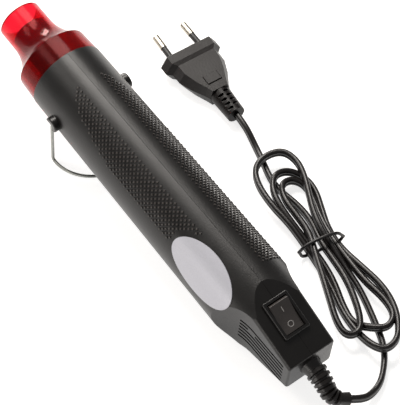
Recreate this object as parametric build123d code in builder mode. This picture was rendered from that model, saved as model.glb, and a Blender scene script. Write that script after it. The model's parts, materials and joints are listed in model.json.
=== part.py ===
from build123d import *
import math
import os

# Embossing heat tool: a barrel with a hot-air nozzle, a rocker switch on a sloping rear face, a wire bail
# that holds the nozzle off the table, and a cord tied up in a hank with a flat two-pin plug.
# The tool is drawn level: X runs from the rear face to the nozzle, Y to the left, Z up, and the barrel's
# axis is the X axis. At the end it is tilted onto its bail and belly and moved to its own origin.

# Driving dimensions in millimetres and degrees
body_length = 206.0
shroud_length = 44.0
rear_radius = 23.3
front_radius = 21.6
wall = 2.2
taper_start = 50.0
slope_start = 42.0
slope_angle = 16.0
belly_angle = 14.9
rear_half_width = 14.2
scoop_end = 28.0
scoop_half_width = 14.4
scoop_start = 50.0
fit_gap = 0.1
running_gap = 0.06
clear_gap = 0.3
overrun = 6.0
round_edge = 2.4

# Shroud, heater and air path
mouth_radius = 12.3
mouth_wall = 1.6
cone_length = 12.0
cone_end_radius = 12.4
flare_step = 1.4
flare_end_radius = 19.2
band_length = 13.2
band_radius = 20.8
band_rear_radius = 21.4
spigot_length = 7.5
spigot_wall = 1.5
tube_radius = 10.0
tube_wall = 0.5
tube_recess = 10.0
tube_length = 62.0
liner_wall = 0.4
liner_inset = 4.0
former_half_width = 7.4
former_thickness = 0.8
former_length = 48.0
plate_thickness = 1.0
plate_hole_radius = 2.2
plate_hole_circle_radius = 5.6
element_wire = 0.6
element_turns = 12
cutout_radius = 1.6
cutout_length = 9.0
ring_length = 6.0
duct_radius = 17.9
duct_wall = 1.0
duct_barrel_length = 18.0
flange_radius = 18.9
flange_thickness = 1.5

# Motor and fan
bracket_setback = 76.0
bracket_thickness = 2.0
bracket_hub_radius = 12.5
spoke_width = 5.0
can_radius = 13.85
can_length = 30.0
can_round = 1.4
boss_ring_radius = 5.0
boss_ring_length = 1.8
cap_length = 3.2
cap_radius = 12.6
shaft_radius = 1.15
shaft_tail = 4.0
hub_radius = 5.2
hub_length = 11.0
hub_gap = 1.2
blade_count = 7
blade_chord = 9.5
blade_thickness = 1.1
blade_root_pitch = 48.0
blade_tip_pitch = 28.0
tip_gap = 0.7
saddle_setback = 24.0
saddle_hole_radius = 2.4
motor_screw_circle_radius = 8.0
motor_screw_radius = 1.25
motor_screw_head_radius = 2.3
tab_width = 2.8
tab_gauge = 0.5
tab_length = 7.0
tab_offset = 9.0
board_gap = 1.0
board_thickness = 1.6
board_radius = 12.0
diode_radius = 1.3
diode_length = 5.0
diode_places = [(4.0, 6.0), (-4.0, 6.0), (4.0, 1.5), (-4.0, 1.5)]
capacitor_radius = 3.6
capacitor_thickness = 2.4
capacitor_drop = 6.5

# Switch
bezel_length = 21.0
bezel_width = 15.0
bezel_height = 1.8
bezel_setback = 10.0
bezel_round = 0.8
switch_length = 18.8
switch_width = 12.8
switch_depth = 13.5
rocker_length = 17.0
rocker_width = 11.0
rocker_top = 3.0
rocker_base = 2.2
rocker_dish = 2.0
rocker_throw = 24.0
rocker_drop = 3.0
well_depth = 7.6
rocker_pin_radius = 1.0
blade_width = 4.8
blade_gauge = 0.8
terminal_length = 7.0
terminal_pitch = 7.0

# Vent slots on both sides of the rear end
slot_rows = 6
slot_pitch = 3.2
slot_height = 1.5
slot_rear = 4.2
slot_front = 37.0
slot_low = -8.6
pad_rear = 26.5
pad_front = 31.5
pad_row = 4

# Bail and its pivot bosses
boss_setback = 20.0
boss_radius = 4.3
boss_reach = 25.0
wire_radius = 0.9
bail_half_width = 24.0
bail_leg = 34.1
bail_bend = 1.9
bail_lean = 1.0
bail_foot_rise = 6.5
bail_tip = 18.8
pocket_gap = 0.3
boss_round = 0.8

# Shell screws and their bosses
screw_radius = 1.3
screw_head_radius = 2.4
screw_head_length = 1.8
screw_boss_radius = 3.2
screw_head_depth = 8.0
screw_reach = 8.0
pilot_end = 10.0
rear_screw_place = (46.0, -14.8)
board_screw_setback = 13.2
board_screw_height = 6.0
bracket_screw_setback = 12.0
bracket_screw_height = -17.3
front_screw_setback = 38.0
front_screw_height = -16.5
rib_thickness = 1.5
rib_depth = 1.6

# Boot, clamp and leads
cord_diameter = 4.4
boot_neck_radius = 4.0
boot_flange_radius = 5.6
boot_flange_thickness = 1.8
boot_root_radius = 5.9
boot_tip_radius = 4.1
boot_rib_step = 1.1
boot_ribs = 7
crest_shares = [0.15, 0.6]
groove_share = 0.75
middle_share = 0.5
boot_height = 0.5
clamp_length = 5.0
clamp_height = 8.0
lead_radius = 0.8
lead_side = 1.2
lead_drop = 5.0
lead_points = [(13.2, 1.2, 0.5), (17.2, 1.1, -5.0), (19.6, 0.7, -10.4), (24.0, 0.3, -12.6)]
load_places = [(1.0, -8.6), (3.0, -7.0), (5.0, -5.6), (4.0, -6.0), (4.0, -6.0)]
load_shares = [0.096, 0.276, 0.6, 0.852, 1.0]
return_places = [(-1.2, 0.5), (-5.0, -4.0), (-6.2, -6.2), (-5.4, -5.0), (-4.6, -6.8), (-4.0, -6.0),
                 (-4.0, -6.0)]
return_shares = [0.06, 0.136, 0.275, 0.503, 0.744, 0.896, 1.0]

# Blank rating plate
label_length = 45.0
label_width = 23.6
label_thickness = 0.35
label_seat = 0.05
label_x = 66.0
label_turn = 52.0

# Cord from the boot, hank and plug, all measured from the middle of the boot's root, and up from the floor
boot_end = (-22.14, -7.0, 8.7)
boot_end_dir = (-0.44, -0.83, -0.35)
arc_share = 0.45
floor_gap = 0.1
strand_gap = 0.6
tail_points = [(-25.54, -13.4, 6.0), (-25.24, -20.3, 3.5), (-22.54, -27.9, 2.3)]
tail_run = 8.4
hank_x = 57.04
hank_y = -54.0
hank_heading = -9.2
entry_place = (-69.4, 2.9)
entry_turn = -30.5
join_place = (-38.0, -14.6)
join_turn = -6.0
climb_place = (-22.0, -3.0)
climb_turn = 2.0
leave_place = (30.0, -8.6)
exit_place = (62.0, -1.4)
exit_turn = 5.0

# The three loops in the order in which the cord runs through them: places of each end, along and across
top_right = [(49.0, -13.8), (40.0, -8.4), (29.0, -3.6)]
top_reach = [(61.0, -1.0), (50.0, -1.0), (36.0, 2.6)]
top_left = [(46.0, 12.4), (41.0, 6.4), (29.0, 8.8)]
bottom_left = [(-53.0, 15.6), (-50.0, 9.4), (-38.0, 8.8)]
bottom_reach = [(-68.0, 1.0), (-58.5, 1.0), (-47.0, 0.5)]
bottom_right = [(-53.0, -13.4), (-49.0, -7.8), (-38.0, -8.6)]
outward_columns = [-2.5, -1.5, -0.5, -1.5]
outward_layers = [0, 1, 0, 0]
return_columns = [1.5, 0.5, 0.5]
loop_layers = [1, 1, 0]

# Tie round the hank's waist, and the plug
tie_width = 4.0
tie_gauge = 0.7
tie_tail_radius = 1.2
tie_tail_length = 5.5
plug_x = 197.36
plug_y = -73.2
plug_heading = -4.5
plug_width = 35.3
plug_height = 13.7
plug_length = 33.0
plug_length_shares = [0, 0.18, 0.26, 0.45, 0.68, 0.9, 1]
plug_width_shares = [1, 1, 0.84, 0.83, 0.665, 0.435, 0.352]
plug_height_shares = [1, 1, 0.92, 0.92, 0.92, 0.91, 0.9]
plug_bevel_share = 0.77
plug_edge = 1.0
plug_tail_length = 16.0
plug_tail_radius = 5.9
plug_tail_tip = 5.2
plug_pocket_rows = 4
plug_pocket_length = 3.4
plug_pocket_width = 1.7
plug_pocket_depth = 1.4
plug_pocket_offset = 2.1
plug_pad_place = 25.0
plug_pad_width = 8.2
plug_pad_length = 5.6
plug_pad_height = 0.5
plug_run = 9.0
pin_radius = 2.0
pin_length = 19.0
pin_tip_length = 9.0
pin_core_radius = 1.4
pin_sleeve_radius = 1.75
pin_pitch = 18.6
pin_tip_pitch = 17.5
pin_seat = 6.0
tiny = 1e-6

# Places along the barrel that follow from the sizes above
tool_length = body_length + shroud_length
cone_end = tool_length - cone_length
band_start = body_length + band_length
flare_end = band_start + flare_step
boss_x = body_length - boss_setback
bracket_x = body_length - bracket_setback
bracket_rear = bracket_x - bracket_thickness
saddle_x = bracket_x - saddle_setback
can_rear = bracket_rear - can_length
cap_rear = can_rear - cap_length
board_x = cap_rear - shaft_tail - board_gap - board_thickness
screw_places = [rear_screw_place, (board_x - board_screw_setback, board_screw_height),
                (bracket_x - bracket_screw_setback, bracket_screw_height),
                (body_length - front_screw_setback, front_screw_height)]


def body_radius(x):
    """Outer radius of the barrel: steady at the rear, then a straight taper to the shroud."""
    share = max(0.0, (x - taper_start) / (body_length - taper_start))
    return rear_radius + (front_radius - rear_radius) * share


def inner_radius(x):
    return body_radius(x) - wall


def slope_plane(x, angle, height):
    """Plane whose own X runs along a line at this angle and whose normal leans out of the tool."""
    turn = math.radians(angle)
    return Plane(origin=(x, 0, height), x_dir=(math.cos(turn), 0, math.sin(turn)),
                 z_dir=(-math.sin(turn), 0, math.cos(turn)))


def ring(x, length, outer, inner):
    """Plain ring or sleeve about the tool's axis, from x forwards."""
    with BuildPart() as turned:
        with BuildSketch(Plane.YZ.offset(x)):
            Circle(outer)
            if inner > 0:
                Circle(inner, mode=Mode.SUBTRACT)
        extrude(amount=length)
    return turned.part


def lathe(points):
    """Solid turned about the tool's axis from (x, radius) points."""
    with BuildPart() as turned:
        with BuildSketch(Plane.XZ):
            with BuildLine():
                Polyline(*points, close=True)
            make_face()
        revolve(axis=Axis.X)
    return turned.part


def tube(points, radius, name):
    """Plain tube of straight runs joined by arcs as large as the runs allow."""
    runs = [(after - before).length for before, after in zip(points, points[1:])]
    radii = []
    for index in range(1, len(points) - 1):
        turn = (points[index] - points[index - 1]).get_angle(points[index + 1] - points[index])
        radii.append(arc_share * min(runs[index - 1:index + 1]) / math.tan(math.radians(turn / 2)))
    with BuildPart() as piece:
        with BuildLine():
            route = FilletPolyline(*points, radius=radii)
        with BuildSketch(Plane(origin=route @ 0, z_dir=route % 0)):
            Circle(radius)
        sweep(path=route)
    share = piece.part.volume / (math.pi * radius ** 2 * route.length)
    print(name, "length", round(route.length, 1), "mm, runs", [round(run, 1) for run in runs],
          "radii", [round(bend, 1) for bend in radii], "volume share", round(share, 4))
    return piece


# Outer and inner form of the housing
slope = math.radians(slope_angle)
belly = math.radians(belly_angle)
slope_rear_height = rear_radius - slope_start * math.tan(slope)
belly_rear_height = -rear_radius + taper_start * math.tan(belly)
scoop_tangent = math.atan2(scoop_half_width - rear_half_width, scoop_end)
reach = rear_radius + overrun
far_end = body_length + overrun
slope_far = slope_start + overrun / math.tan(slope)
belly_far = taper_start + overrun / math.tan(belly)


def housing_form(inset):
    """Barrel cut by the switch slope, the belly slope and two side scoops, all moved in by a wall."""
    with BuildPart() as form:
        with BuildSketch(Plane.XZ):
            with BuildLine():
                Polyline((0, belly_rear_height), (0, slope_rear_height), (slope_far, reach),
                         (far_end, reach), (far_end, -reach), (belly_far, -reach), close=True)
            make_face()
            if inset:
                offset(amount=-inset, kind=Kind.INTERSECTION)
        extrude(amount=reach, both=True)
        with BuildSketch(Plane.XY):
            with BuildLine():
                side = Line((0, rear_half_width), (scoop_end, scoop_half_width))
                scoop = TangentArc(side @ 1, (scoop_start, rear_radius),
                                   tangent=(math.cos(scoop_tangent), math.sin(scoop_tangent)))
                flank = TangentArc(scoop @ 1, (scoop_start + overrun, reach), tangent=scoop % 1)
                Polyline(flank @ 1, (far_end, reach), (far_end, 0), (0, 0), side @ 0)
            make_face()
            mirror(about=Plane.XZ)
            if inset:
                offset(amount=-inset, kind=Kind.INTERSECTION)
        extrude(amount=reach, both=True, mode=Mode.INTERSECT)
        if not inset:
            rear_face = form.faces().sort_by(Axis.X)[0]
            rear_corners = rear_face.vertices()
            corner_edges = [edge for edge in form.edges() if edge not in rear_face.edges()
                            and any(corner in edge.vertices() for corner in rear_corners)]
            fillet(corner_edges, radius=round_edge)
            fillet(form.faces().sort_by(Axis.X)[0].edges(), radius=round_edge / 2)
        with BuildSketch(Plane.XZ):
            with BuildLine():
                Polyline((-overrun, 0), (-overrun, rear_radius - inset), (taper_start, rear_radius - inset),
                         (body_length, front_radius - inset), (body_length, 0), close=True)
            make_face()
        revolve(axis=Axis.X, mode=Mode.INTERSECT)
    return form.part


with BuildPart() as outer_form:
    add(housing_form(0))

inner_form = housing_form(wall)

# Seats and screw bosses inside the two half shells, cut to the housing's outside
tube_rear = tool_length - tube_recess - tube_length
ring_x = tube_rear - ring_length / 3
rib_places = [bracket_rear - fit_gap - rib_thickness, bracket_x + flange_thickness + fit_gap,
              ring_x - fit_gap - rib_thickness, ring_x + ring_length + fit_gap]

with BuildPart() as inside_work:
    for rib_x in rib_places:
        add(ring(rib_x, rib_thickness, body_radius(rib_x) - fit_gap, inner_radius(rib_x) - rib_depth))
    add(ring(saddle_x, rib_thickness, body_radius(saddle_x) - fit_gap, can_radius + fit_gap))
    saddle_circle = (inner_radius(saddle_x) + can_radius) / 2
    with BuildSketch(Plane.YZ.offset(saddle_x - overrun)):
        with PolarLocations(saddle_circle, 8):
            Circle(saddle_hole_radius)
    extrude(amount=overrun * 2, mode=Mode.SUBTRACT)
    with BuildSketch(Plane.XZ):
        with Locations(*screw_places):
            Circle(screw_boss_radius)
    extrude(amount=reach, both=True)
    add(outer_form.part, mode=Mode.INTERSECT)

# Places of the switch, measured along its slope
bezel_centre = bezel_setback + bezel_length / 2
switch_x = slope_start - bezel_centre * math.cos(slope)
switch_z = rear_radius - bezel_centre * math.sin(slope)
switch_plane = slope_plane(switch_x, slope_angle, switch_z)

with BuildPart() as housing:
    add(outer_form.part)
    add(inner_form, mode=Mode.SUBTRACT)
    add(inside_work.part)
    # Pivot bosses: a disc on each side whose slot lets the bail's leg swing forwards to the nozzle
    with BuildSketch(Plane.XZ):
        with Locations((boss_x, 0)):
            Circle(boss_radius)
    extrude(amount=boss_reach, both=True)
    boss_faces = housing.faces().filter_by(Axis.Y).sort_by(Axis.Y)
    fillet([boss_faces[0].edges(), boss_faces[-1].edges()], radius=boss_round)
    with BuildSketch(Plane.YZ.offset(boss_x - boss_radius - overrun)):
        Circle(inner_radius(boss_x))
    extrude(amount=(boss_radius + overrun) * 2, mode=Mode.SUBTRACT)
    lean = math.radians(bail_lean)
    slot_half = wire_radius + pocket_gap
    slot_reach = boss_radius * 2
    slot_inner = bail_half_width - bail_bend - pocket_gap
    slot_outer = bail_half_width + slot_half
    stop_x = boss_x - math.cos(lean) * slot_half
    stop_z = math.sin(lean) * slot_half
    stop_low_x = stop_x - math.sin(lean) * slot_reach
    stop_low_z = stop_z - math.cos(lean) * slot_reach
    for side in (1, -1):
        with BuildSketch(Plane.XZ.offset(slot_inner * side)):
            with Locations((boss_x, 0)):
                Circle(slot_half)
            with BuildLine():
                Polyline((stop_x, stop_z), (stop_low_x, stop_low_z),
                         (boss_x + slot_reach, -slot_reach), (boss_x + slot_reach, slot_half),
                         (boss_x, slot_half), close=True)
            make_face()
        extrude(amount=(slot_outer - slot_inner) * side, mode=Mode.SUBTRACT)
    with BuildSketch(Plane.XZ.offset(-bail_half_width)):
        with Locations((boss_x, 0)):
            Circle(wire_radius + running_gap)
    extrude(amount=bail_half_width * 2, mode=Mode.SUBTRACT)
    # Window for the switch, vent slots and the hole for the boot
    with BuildSketch(switch_plane):
        Rectangle(switch_length + fit_gap * 2, switch_width + fit_gap * 2)
    extrude(amount=overrun, both=True, mode=Mode.SUBTRACT)
    with BuildSketch(Plane.XZ):
        for row in range(slot_rows):
            row_z = slot_low + slot_pitch * row
            spans = [(slot_rear, slot_front)]
            if row == pad_row:
                spans = [(slot_rear, pad_rear), (pad_front, slot_front)]
            for low, high in spans:
                with Locations(((low + high) / 2, row_z)):
                    SlotOverall(high - low, slot_height)
    extrude(amount=reach, both=True, mode=Mode.SUBTRACT)
    with BuildSketch(Plane.YZ):
        with Locations((0, boot_height)):
            Circle(boot_neck_radius + fit_gap)
    extrude(amount=wall * 2, both=True, mode=Mode.SUBTRACT)

with BuildPart() as left_shell:
    add(housing.part)
    split(bisect_by=Plane.XZ, keep=Keep.BOTTOM)
    with BuildSketch(Plane.XZ):
        with Locations(*screw_places):
            Circle(screw_radius + fit_gap)
    extrude(amount=-pilot_end, mode=Mode.SUBTRACT)

with BuildPart() as right_shell:
    add(housing.part)
    split(bisect_by=Plane.XZ, keep=Keep.TOP)
    with BuildSketch(Plane.XZ):
        with Locations(*screw_places):
            Circle(screw_radius + fit_gap)
    extrude(amount=reach, mode=Mode.SUBTRACT)
    with BuildSketch(Plane.XZ.offset(screw_head_depth)):
        with Locations(*screw_places):
            Circle(screw_head_radius + fit_gap)
    extrude(amount=reach, mode=Mode.SUBTRACT)

with BuildPart() as shell_screws:
    with BuildSketch(Plane.XZ.offset(-screw_reach)):
        with Locations(*screw_places):
            Circle(screw_radius)
    extrude(amount=screw_reach + screw_head_depth + fit_gap)
    with BuildSketch(Plane.XZ.offset(screw_head_depth + fit_gap)):
        with Locations(*screw_places):
            Circle(screw_head_radius)
    extrude(amount=screw_head_length)

# Red shroud: cone at the mouth, concave flare, raised band, and a spigot held inside the shells
cone_turn = math.atan2(cone_end_radius - mouth_radius, cone_end - tool_length)


def shroud_edge(inset):
    """Outline of the shroud from its mouth back to the seam, moved in by its wall."""
    lip = Line((tool_length, mouth_radius - inset), (cone_end, cone_end_radius - inset))
    flare = TangentArc(lip @ 1, (flare_end, flare_end_radius - inset),
                       tangent=(math.cos(cone_turn), math.sin(cone_turn)))
    return lip, flare


with BuildPart() as nozzle_shroud:
    with BuildSketch(Plane.XZ):
        with BuildLine():
            lip, flare = shroud_edge(0)
            Polyline(flare @ 1, (band_start, band_radius), (body_length, band_rear_radius),
                     (body_length, 0), (tool_length, 0), lip @ 0)
        make_face()
    revolve(axis=Axis.X)
    add(ring(body_length - spigot_length, spigot_length, inner_radius(body_length) - fit_gap, 0))
    with BuildSketch(Plane.XZ):
        with BuildLine():
            lip, flare = shroud_edge(mouth_wall)
            Polyline(flare @ 1, (band_start, band_radius - mouth_wall * 2),
                     (body_length - spigot_length, inner_radius(body_length) - fit_gap - spigot_wall),
                     (body_length - spigot_length, 0), (tool_length, 0), lip @ 0)
        make_face()
    revolve(axis=Axis.X, mode=Mode.SUBTRACT)

# Heater: steel tube in a ceramic ring, mica liner, mica cross with its wound element and end plate
tube_front = tool_length - tube_recess
liner_radius = tube_radius - tube_wall - fit_gap
liner_rear = tube_rear + liner_inset
former_rear = liner_rear + plate_thickness + fit_gap

with BuildPart() as heater_tube:
    add(ring(tube_rear, tube_length, tube_radius, tube_radius - tube_wall))

with BuildPart() as heater_ring:
    add(ring(ring_x, ring_length, inner_radius(ring_x + ring_length) - fit_gap, 0))
    add(ring(tube_rear, ring_length, tube_radius + fit_gap, 0), mode=Mode.SUBTRACT)
    add(ring(ring_x - overrun, ring_length + overrun, tube_radius - tube_wall, 0), mode=Mode.SUBTRACT)

with BuildPart() as mica_liner:
    add(ring(liner_rear, tube_length - liner_inset * 2, liner_radius, liner_radius - liner_wall))

with BuildPart() as former_plate:
    add(ring(liner_rear, plate_thickness, liner_radius - liner_wall - fit_gap, 0))
    with BuildSketch(Plane.YZ.offset(liner_rear - overrun)):
        with PolarLocations(plate_hole_circle_radius, 4, start_angle=45):
            Circle(plate_hole_radius)
    extrude(amount=overrun * 2, mode=Mode.SUBTRACT)

with BuildPart() as heater_former:
    with BuildSketch(Plane.YZ.offset(former_rear)):
        Rectangle(former_half_width * 2, former_thickness)
        Rectangle(former_thickness, former_half_width * 2)
    extrude(amount=former_length)

element_radius = former_half_width + former_thickness / 2 + element_wire
element_rear = former_rear + liner_inset
element_pitch = (former_length - liner_inset * 2) / element_turns
with BuildPart() as heating_element:
    corners = []
    for corner in range(element_turns * 4 + 1):
        turn = math.radians(90 * corner)
        corners.append((element_rear + element_pitch * corner / 4, element_radius * math.cos(turn),
                        element_radius * math.sin(turn)))
    with BuildLine():
        winding = Polyline(*corners)
    with BuildSketch(Plane(origin=winding @ 0, z_dir=winding % 0)):
        Rectangle(element_wire, element_wire)
    sweep(path=winding, transition=Transition.RIGHT)
print("heating element: gap between turns", round(element_pitch - element_wire * 2, 2), "mm")

cutout_offset = cutout_radius + former_thickness
with BuildPart() as thermal_cutout:
    with BuildSketch(Plane.YZ.offset(former_rear + fit_gap)):
        with Locations((cutout_offset, cutout_offset)):
            Circle(cutout_radius)
    extrude(amount=cutout_length)

# Fan duct: flange, straight barrel round the fan, and a cone down to the heater ring
duct_x = bracket_x + flange_thickness
duct_throat = tube_radius + duct_wall
with BuildPart() as fan_duct:
    barrel_end = bracket_x + duct_barrel_length
    duct_end = ring_x - fit_gap
    add(lathe([(bracket_x, 0), (bracket_x, flange_radius), (duct_x, flange_radius), (duct_x, duct_radius),
               (barrel_end, duct_radius), (duct_end, duct_throat), (duct_end, 0)]))
    add(lathe([(bracket_x - overrun, 0), (bracket_x - overrun, duct_radius - duct_wall),
               (barrel_end, duct_radius - duct_wall), (duct_end, duct_throat - duct_wall),
               (duct_end + overrun, duct_throat - duct_wall), (duct_end + overrun, 0)]),
        mode=Mode.SUBTRACT)

# Motor: can with front bearing boss, rear cap with two tabs, shaft, bracket and screws
with BuildPart() as motor_can:
    add(ring(can_rear, can_length, can_radius, 0))
    fillet(motor_can.edges().filter_by(GeomType.CIRCLE), radius=can_round)
    add(ring(bracket_rear, boss_ring_length, boss_ring_radius, 0))
    add(ring(can_rear - overrun, can_length + overrun * 2, shaft_radius + running_gap, 0),
        mode=Mode.SUBTRACT)

with BuildPart() as motor_end_cap:
    add(ring(cap_rear, cap_length, cap_radius, 0))
    chamfer(motor_end_cap.edges().group_by(Axis.X)[0], length=round_edge / 3)
    add(ring(cap_rear, cap_length, shaft_radius + running_gap, 0), mode=Mode.SUBTRACT)

with BuildPart() as motor_tabs:
    with BuildSketch(Plane.YZ.offset(cap_rear)):
        with Locations((tab_offset, 0), (-tab_offset, 0)):
            Rectangle(tab_gauge, tab_width)
    extrude(amount=-tab_length)

with BuildPart() as motor_shaft:
    shaft_rear = cap_rear - shaft_tail
    shaft_end = bracket_x + hub_gap + hub_length + fit_gap
    add(ring(shaft_rear, shaft_end - shaft_rear, shaft_radius, 0))
    chamfer(motor_shaft.edges(), length=shaft_radius / 4)

bracket_radius = inner_radius(bracket_x) - fit_gap
with BuildPart() as motor_bracket:
    with BuildSketch(Plane.YZ.offset(bracket_rear)):
        Circle(bracket_radius)
        Circle(bracket_radius - rib_depth * 2, mode=Mode.SUBTRACT)
        Circle(bracket_hub_radius)
        with PolarLocations((bracket_radius + bracket_hub_radius) / 2 - rib_depth, 4, start_angle=45):
            Rectangle(bracket_radius - bracket_hub_radius, spoke_width)
        Circle(boss_ring_radius + fit_gap, mode=Mode.SUBTRACT)
        with PolarLocations(motor_screw_circle_radius, 2):
            Circle(motor_screw_radius + fit_gap, mode=Mode.SUBTRACT)
    extrude(amount=bracket_thickness)

with BuildPart() as motor_screws:
    with BuildSketch(Plane.YZ.offset(bracket_rear)):
        with PolarLocations(motor_screw_circle_radius, 2):
            Circle(motor_screw_radius)
    extrude(amount=bracket_thickness)
    with BuildSketch(Plane.YZ.offset(bracket_x)):
        with PolarLocations(motor_screw_circle_radius, 2):
            Circle(motor_screw_head_radius)
    extrude(amount=hub_gap - clear_gap)

# Fan: hub and twisted blades, each a loft from its root to its tip
fan_x = bracket_x + hub_gap
fan_tip = duct_radius - duct_wall - tip_gap
with BuildPart() as fan:
    add(ring(fan_x, hub_length, hub_radius, 0))
    fillet(fan.edges().group_by(Axis.X)[-1], radius=round_edge)
    blade_x = fan_x + hub_length / 2
    for blade in range(blade_count):
        spoke = math.radians(360 * blade / blade_count)
        out = Vector(0, math.sin(spoke), math.cos(spoke))
        for radius, pitch in ((hub_radius - blade_thickness, blade_root_pitch), (fan_tip, blade_tip_pitch)):
            with BuildSketch(Plane(origin=Vector(blade_x, 0, 0) + out * radius, x_dir=(1, 0, 0), z_dir=out)):
                Rectangle(blade_thickness, blade_chord, rotation=90 - pitch)
        loft()
    add(ring(fan_x - overrun, overrun, duct_radius, 0), mode=Mode.SUBTRACT)
    add(ring(fan_x - fit_gap, hub_length + overrun, shaft_radius + running_gap / 3, 0),
        mode=Mode.SUBTRACT)

# Small board behind the motor with its rectifier and capacitor
with BuildPart() as motor_board:
    add(ring(board_x, board_thickness, board_radius, 0))
    with BuildSketch(Plane.YZ.offset(board_x)):
        with Locations((tab_offset, 0), (-tab_offset, 0)):
            Rectangle(tab_gauge + fit_gap * 2, tab_width + fit_gap * 2)
    extrude(amount=board_thickness, mode=Mode.SUBTRACT)

with BuildPart() as rectifier_diodes:
    for place_y, place_z in diode_places:
        with BuildSketch(Plane.XZ.offset(-place_y - diode_length / 2)):
            with Locations((board_x - diode_radius, place_z)):
                Circle(diode_radius)
        extrude(amount=diode_length)

with BuildPart() as suppression_capacitor:
    with BuildSketch(Plane.XZ.offset(-capacitor_thickness / 2)):
        with Locations((board_x - capacitor_radius, -capacitor_drop)):
            Circle(capacitor_radius)
    extrude(amount=capacitor_thickness)

# Switch: housing with bezel and well, two blades, and the rocker resting with its rear end down
pivot_out = bezel_height - rocker_drop
with BuildPart() as switch_body:
    with BuildSketch(switch_plane):
        RectangleRounded(bezel_length, bezel_width, bezel_round)
    extrude(amount=bezel_height)
    chamfer(switch_body.edges().group_by(Axis(switch_plane.origin, switch_plane.z_dir))[-1],
            length=bezel_round / 2)
    with BuildSketch(switch_plane):
        Rectangle(switch_length, switch_width)
    extrude(amount=-switch_depth)
    with BuildSketch(switch_plane.offset(bezel_height)):
        Rectangle(rocker_length + clear_gap * 2, rocker_width + clear_gap * 2)
    extrude(amount=-well_depth, mode=Mode.SUBTRACT)
    pivot = switch_plane.from_local_coords((0, 0, pivot_out))
    with BuildSketch(Plane.XZ):
        with Locations((pivot.X, pivot.Z)):
            Circle(rocker_pin_radius + running_gap)
    extrude(amount=reach, both=True, mode=Mode.SUBTRACT)

with BuildPart() as switch_terminals:
    with BuildSketch(switch_plane.offset(-switch_depth)):
        with Locations((terminal_pitch / 2, 0), (-terminal_pitch / 2, 0)):
            Rectangle(blade_gauge, blade_width)
    extrude(amount=-terminal_length)

rocker_angle = slope_angle + rocker_throw / 2
rocker_plane = Plane(origin=pivot, x_dir=(math.cos(math.radians(rocker_angle)), 0,
                                          math.sin(math.radians(rocker_angle))), z_dir=(0, -1, 0))
rocker_radius = rocker_length / 2
top_corner = math.sqrt(rocker_radius ** 2 - rocker_top ** 2)
base_corner = math.sqrt(rocker_radius ** 2 - rocker_base ** 2)
with BuildPart() as rocker:
    with BuildSketch(rocker_plane):
        with BuildLine():
            top = ThreePointArc((-top_corner, rocker_top), (0, rocker_dish), (top_corner, rocker_top))
            nose = ThreePointArc(top @ 1, (rocker_radius, 0), (base_corner, -rocker_base))
            base = Line(nose @ 1, (-base_corner, -rocker_base))
            ThreePointArc(base @ 1, (-rocker_radius, 0), top @ 0)
        make_face()
    extrude(amount=rocker_width / 2, both=True)
    with BuildSketch(rocker_plane):
        Circle(rocker_pin_radius)
    extrude(amount=switch_width / 2 - fit_gap, both=True)

# Blank oval rating plate, a thin skin on the barrel's left flank
with BuildPart() as rating_label:
    label_dir = Vector(0, math.sin(math.radians(label_turn)), math.cos(math.radians(label_turn)))
    with BuildSketch(Plane(origin=(label_x, 0, 0), x_dir=(1, 0, 0), z_dir=label_dir)):
        Ellipse(label_length / 2, label_width / 2)
    extrude(amount=reach)
    seat, face = label_seat, label_seat + label_thickness
    add(lathe([(0, 0), (0, rear_radius + face), (taper_start, rear_radius + face),
               (body_length, front_radius + face), (body_length, 0)]), mode=Mode.INTERSECT)
    add(lathe([(-overrun, 0), (-overrun, rear_radius + seat), (taper_start, rear_radius + seat),
               (body_length, front_radius + seat), (body_length, 0)]), mode=Mode.SUBTRACT)

# Wire bail: two tips in the bosses, two legs, sharp kinks and a half circle that clears the barrel
leg_dir = Vector(-math.sin(lean), 0, -math.cos(lean))
foot_rise = math.radians(bail_foot_rise)
back_dir = Vector(-math.cos(foot_rise), 0, math.sin(foot_rise))
pivot_point = Vector(boss_x, 0, 0)
half_span = Vector(0, bail_half_width, 0)
kink_point = pivot_point + leg_dir * bail_leg
arc_start = kink_point + back_dir * (bail_bend + clear_gap * 2)
with BuildPart() as bail:
    with BuildLine() as bail_path:
        left_leg = FilletPolyline(pivot_point + Vector(0, bail_tip, 0), pivot_point + half_span,
                                  kink_point + half_span, arc_start + half_span, radius=bail_bend)
        bow = ThreePointArc(left_leg @ 1, arc_start + back_dir * bail_half_width, arc_start - half_span)
        FilletPolyline(bow @ 1, kink_point - half_span, pivot_point - half_span,
                       pivot_point - Vector(0, bail_tip, 0), radius=bail_bend)
    with BuildSketch(Plane(origin=left_leg @ 0, z_dir=(0, 1, 0))):
        Circle(wire_radius)
    sweep(path=bail_path.line)

# Cord clamp and leads inside the rear end
clamp_x = wall + boot_flange_thickness + fit_gap * 2
clamp_half = rear_half_width - wall - fit_gap * 2
with BuildPart() as cord_clamp:
    with BuildSketch(Plane.YZ.offset(clamp_x)):
        with Locations((0, boot_height)):
            Rectangle(clamp_half * 2, clamp_height)
            Circle(cord_diameter / 2 + fit_gap, mode=Mode.SUBTRACT)
    extrude(amount=clamp_length)

cord_end_x = clamp_x + clamp_length + fit_gap
with BuildPart() as inner_cord:
    with BuildSketch(Plane.YZ.offset(wall + boot_flange_thickness + fit_gap)):
        with Locations((0, boot_height)):
            Circle(cord_diameter / 2)
    extrude(amount=cord_end_x - wall - boot_flange_thickness - fit_gap)

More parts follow.
